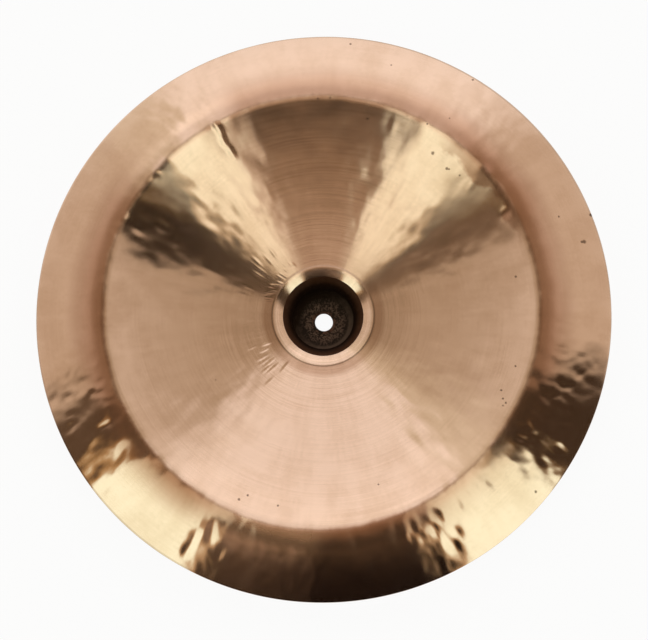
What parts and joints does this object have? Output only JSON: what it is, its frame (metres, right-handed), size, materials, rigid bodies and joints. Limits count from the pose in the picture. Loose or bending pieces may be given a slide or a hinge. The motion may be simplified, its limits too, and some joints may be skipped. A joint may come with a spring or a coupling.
{
  "type": "china cymbal",
  "caption": "Round hammered bronze china cymbal with a square bell, a shallow bow and a rim turned back the other way, lying with its open side up.",
  "frame": {"origin": "centre of the mounting hole, on the outer face of the bell's crown, which is the cymbal's lowest face as it lies", "axes": "+Z along the cymbal's axis, out of the open side of the bow; +Y towards the top of the picture and +X towards its right"},
  "size_m": [0.4064, 0.4064, 0.0466],
  "materials": {
    "bell_bronze": "turned and polished bow and flange with fine tool rings and hammer marks, and a black forged skin inside and round the bell"
  },
  "bodies": {
    "root": {"cymbal": "bell_bronze"}
  },
  "joints": []
}
